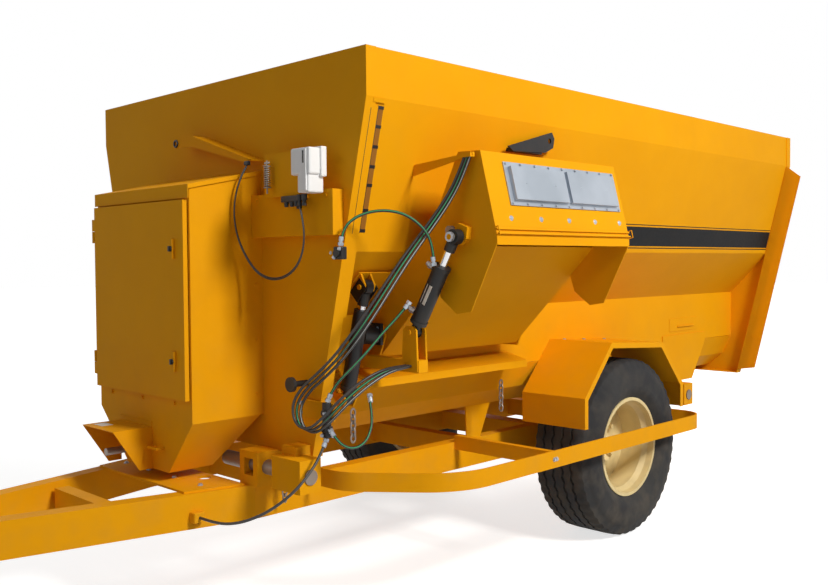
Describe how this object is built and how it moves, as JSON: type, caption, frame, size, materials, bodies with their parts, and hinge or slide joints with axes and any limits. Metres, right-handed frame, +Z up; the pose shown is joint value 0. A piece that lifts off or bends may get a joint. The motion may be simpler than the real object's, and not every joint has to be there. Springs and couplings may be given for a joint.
{
  "type": "feed mixer wagon",
  "caption": "Trailed feed mixer wagon: auger tub on a single-axle drawbar frame, with a tilting slat conveyor, slide gate and front chain cabinet.",
  "frame": {"origin": "middle of the hitch pin's bore, on the machine's centre plane", "axes": "+X to the machine's left (discharge side), +Y to the rear, +Z up along the hitch pin"},
  "size_m": [2.707, 6.556, 2.59],
  "materials": {
    "yellow_paint": "gloss enamel",
    "black_paint": "satin black",
    "bare_steel": "bare steel",
    "grey_plastic": "satin",
    "tyre": "matte",
    "hose_rubber": "satin rubber",
    "cream_paint": "gloss",
    "galvanised": "zinc",
    "chrome_rod": "polished"
  },
  "bodies": {
    "chassis": {"main_frame": "yellow_paint", "drawbar": "yellow_paint", "hitch_clevis": "yellow_paint", "axle_beam": "yellow_paint", "guard_rail": "yellow_paint", "fenders": "yellow_paint", "tub_front_wall": "yellow_paint", "tub_rear_wall": "yellow_paint", "tub_left_side": "yellow_paint", "tub_right_side": "yellow_paint", "tub_floor": "yellow_paint", "chain_covers": "yellow_paint", "rear_bearings": "yellow_paint", "drive_cabinet": "yellow_paint", "cabinet_roof": "yellow_paint", "gearcase_shroud": "yellow_paint", "pto_hood": "yellow_paint", "discharge_sill": "yellow_paint", "gate_guides": "yellow_paint", "cylinder_brackets": "yellow_paint", "weigh_bars": "bare_steel", "pedestals": "yellow_paint", "jack_tube": "yellow_paint", "front_brackets": "yellow_paint", "hose_fittings": "galvanised", "indicator_box": "grey_plastic", "hose_hook": "black_paint", "stay_lug": "black_paint", "drive_chain": "bare_steel", "hose_bundle_black": "hose_rubber", "hose_bundle_green": "hose_rubber", "hose_bundle_white": "hose_rubber", "hose_upper": "hose_rubber", "hose_lower": "hose_rubber", "hose_loop": "hose_rubber", "hose_supply": "hose_rubber", "scale_cable": "hose_rubber"},
    "wheel_left_body": {"tyre_left": "tyre", "wheel_left": "cream_paint"},
    "wheel_right_body": {"tyre_right": "tyre", "wheel_right": "cream_paint"},
    "door_body": {"cabinet_door": "yellow_paint"},
    "main_sprocket_body": {"main_sprocket": "bare_steel"},
    "input_shaft_body": {"input_shaft": "bare_steel"},
    "auger_lower_left_body": {"auger_lower_left": "bare_steel"},
    "auger_lower_right_body": {"auger_lower_right": "bare_steel"},
    "auger_upper_left_body": {"auger_upper_left": "bare_steel"},
    "auger_upper_right_body": {"auger_upper_right": "bare_steel"},
    "conveyor_body": {"conveyor_trough": "yellow_paint", "conveyor_hood": "yellow_paint", "conveyor_slats": "bare_steel", "conveyor_shafts": "bare_steel", "conveyor_motor": "black_paint", "magnet_plates": "galvanised"},
    "lift_barrel_body": {"lift_barrel": "black_paint"},
    "lift_rod_body": {"lift_rod": "chrome_rod"},
    "gate_body": {"gate": "yellow_paint"},
    "gate_barrel_body": {"gate_barrel": "black_paint"},
    "gate_rod_body": {"gate_rod": "chrome_rod"},
    "jack_leg_body": {"jack_leg": "galvanised"}
  },
  "joints": [
    {"name": "wheel_left_spin", "type": "hinge", "parent": "chassis", "child": "wheel_left_body", "pos_m": [0.92, 4.27, -0.009], "axis": [1, 0, 0], "continuous": true},
    {"name": "wheel_right_spin", "type": "hinge", "parent": "chassis", "child": "wheel_right_body", "pos_m": [-0.92, 4.27, -0.009], "axis": [1, 0, 0], "continuous": true},
    {"name": "cabinet_door_swing", "type": "hinge", "parent": "chassis", "child": "door_body", "pos_m": [-0.486, 1.633, 0.955], "axis": [0, 0, -1], "range_deg": [0, 110]},
    {"name": "auger_lower_left_spin", "type": "hinge", "parent": "chassis", "child": "auger_lower_left_body", "pos_m": [0.345, 2.05, 0.59], "axis": [0, 1, 0], "continuous": true},
    {"name": "auger_lower_right_spin", "type": "hinge", "parent": "chassis", "child": "auger_lower_right_body", "pos_m": [-0.345, 2.05, 0.59], "axis": [0, 1, 0], "continuous": true},
    {"name": "auger_upper_left_spin", "type": "hinge", "parent": "chassis", "child": "auger_upper_left_body", "pos_m": [0.68, 2.05, 1.335], "axis": [0, 1, 0], "continuous": true},
    {"name": "auger_upper_right_spin", "type": "hinge", "parent": "chassis", "child": "auger_upper_right_body", "pos_m": [-0.68, 2.05, 1.335], "axis": [0, 1, 0], "continuous": true},
    {"name": "main_sprocket_spin", "type": "hinge", "parent": "chassis", "child": "main_sprocket_body", "pos_m": [-0.115, 2.05, 0.875], "axis": [0, 1, 0], "continuous": true},
    {"name": "input_shaft_spin", "type": "hinge", "parent": "chassis", "child": "input_shaft_body", "pos_m": [-0.115, 2.05, 0.215], "axis": [0, 1, 0], "continuous": true},
    {"name": "conveyor_tilt", "type": "hinge", "parent": "chassis", "child": "conveyor_body", "pos_m": [0.81318, 2.436, 0.77822], "axis": [0, 1, 0], "range_deg": [0, 22]},
    {"name": "lift_barrel_swing", "type": "hinge", "parent": "chassis", "child": "lift_barrel_body", "pos_m": [1.108, 2.38, 0.803], "axis": [0, 1, 0], "range_deg": [0, 32.95]},
    {"name": "lift_rod_slide", "type": "slide", "parent": "lift_barrel_body", "child": "lift_rod_body", "axis": [-0.5083, 0, -0.8612], "range_m": [0, 0.07536]},
    {"name": "gate_slide", "type": "slide", "parent": "chassis", "child": "gate_body", "axis": [0.7036, 0, 0.7106], "range_m": [0, 0.3]},
    {"name": "gate_barrel_swing", "type": "hinge", "parent": "chassis", "child": "gate_barrel_body", "pos_m": [0.775, 2.255, 0.475], "axis": [0, 1, 0], "range_deg": [0, 11.3]},
    {"name": "gate_rod_slide", "type": "slide", "parent": "gate_barrel_body", "child": "gate_rod_body", "axis": [0.2579, 0, 0.9662], "range_m": [0, 0.27247]},
    {"name": "jack_slide", "type": "slide", "parent": "chassis", "child": "jack_leg_body", "axis": [0, 0, 1], "range_m": [-0.1, 0.35]}
  ],
  "couplings": [
    {"joint": "auger_lower_right_spin", "follows": "auger_lower_left_spin", "ratio": -1},
    {"joint": "auger_upper_left_spin", "follows": "auger_lower_left_spin", "ratio": -1},
    {"joint": "auger_upper_right_spin", "follows": "auger_lower_left_spin", "ratio": 1},
    {"joint": "main_sprocket_spin", "follows": "auger_lower_left_spin", "ratio": 4},
    {"joint": "input_shaft_spin", "follows": "auger_lower_left_spin", "ratio": 18.71},
    {"joint": "lift_barrel_swing", "follows": "conveyor_tilt", "ratio": 1.4748},
    {"joint": "lift_rod_slide", "follows": "conveyor_tilt", "m_per_rad": 0.19366},
    {"joint": "gate_barrel_swing", "follows": "gate_slide", "rad_per_m": 0.64027},
    {"joint": "gate_rod_slide", "follows": "gate_slide", "ratio": 0.90491}
  ]
}
